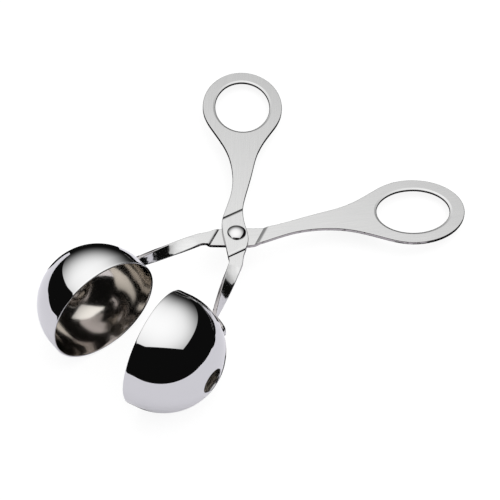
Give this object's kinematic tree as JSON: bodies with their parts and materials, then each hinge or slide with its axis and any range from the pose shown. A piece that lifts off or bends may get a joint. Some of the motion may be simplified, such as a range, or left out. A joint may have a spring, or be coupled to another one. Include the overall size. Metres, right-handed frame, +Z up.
{
  "type": "meatball maker tongs",
  "caption": "Scissor-action meatball tongs: crossed steel arms on a rivet close half-ball moulds with vent holes, worked by oval finger rings.",
  "frame": {"origin": "centre of the bounding box on the worktop, below the tongs as they lie opened", "axes": "+Z up, +Y from the moulds to the finger rings along the tongs' length, +X to the side of the upper arm's mould"},
  "size_m": [0.1294, 0.164, 0.0467],
  "materials": {
    "satin_steel": "satin stainless steel, finely ground and lightly polished",
    "polished_steel": "mirror-polished stainless steel outside, duller drawn surface inside",
    "rivet_steel": "bright stainless steel"
  },
  "bodies": {
    "upper_half": {"upper_arm": "satin_steel", "upper_arm_bowl": "polished_steel", "pivot_rivet": "rivet_steel"},
    "lower_half": {"lower_arm": "satin_steel", "lower_arm_bowl": "polished_steel"}
  },
  "joints": [
    {"name": "scissor_pivot", "type": "hinge", "parent": "upper_half", "child": "lower_half", "pos_m": [0, 0.00387, 0.01423], "axis": [0, 0.1442, 0.9896], "range_deg": [0, 22.7]}
  ]
}
